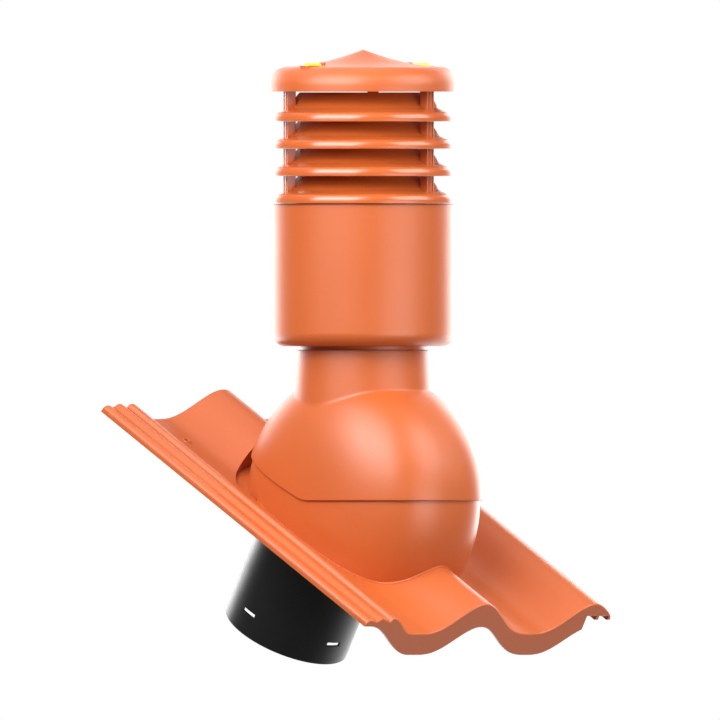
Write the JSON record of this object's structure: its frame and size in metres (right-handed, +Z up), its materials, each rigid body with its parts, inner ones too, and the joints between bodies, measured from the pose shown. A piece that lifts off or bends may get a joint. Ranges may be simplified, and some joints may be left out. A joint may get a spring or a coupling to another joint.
{
  "type": "insulated roof vent",
  "caption": "Roof tile with a ball-shaped cowl, a jacketed flue and a louvred head with a rain cap, over a duct pipe square to the roof.",
  "frame": {"origin": "middle of the flat batten seat under the head of the roof tile", "axes": "+Z up, +X across the roof to the right seen from the eave, -Y down the slope; the roof plane rises towards +Y at 30 degrees"},
  "size_m": [0.33, 0.3796, 0.5944],
  "materials": {
    "terracotta": "satin moulded plastic, terracotta",
    "black_pipe": "satin extruded plastic, black",
    "vial": "clear vial with yellow-green liquid"
  },
  "bodies": {
    "root": {"roof_tile": "terracotta", "duct_pipe": "black_pipe", "hood": "terracotta", "flue_pipe": "terracotta", "jacket": "terracotta", "louvre_ring_1": "terracotta", "louvre_ring_2": "terracotta", "louvre_ring_3": "terracotta", "louvre_ring_4": "terracotta", "cap": "terracotta", "level_vial_left": "vial", "level_vial_right": "vial"}
  },
  "joints": []
}
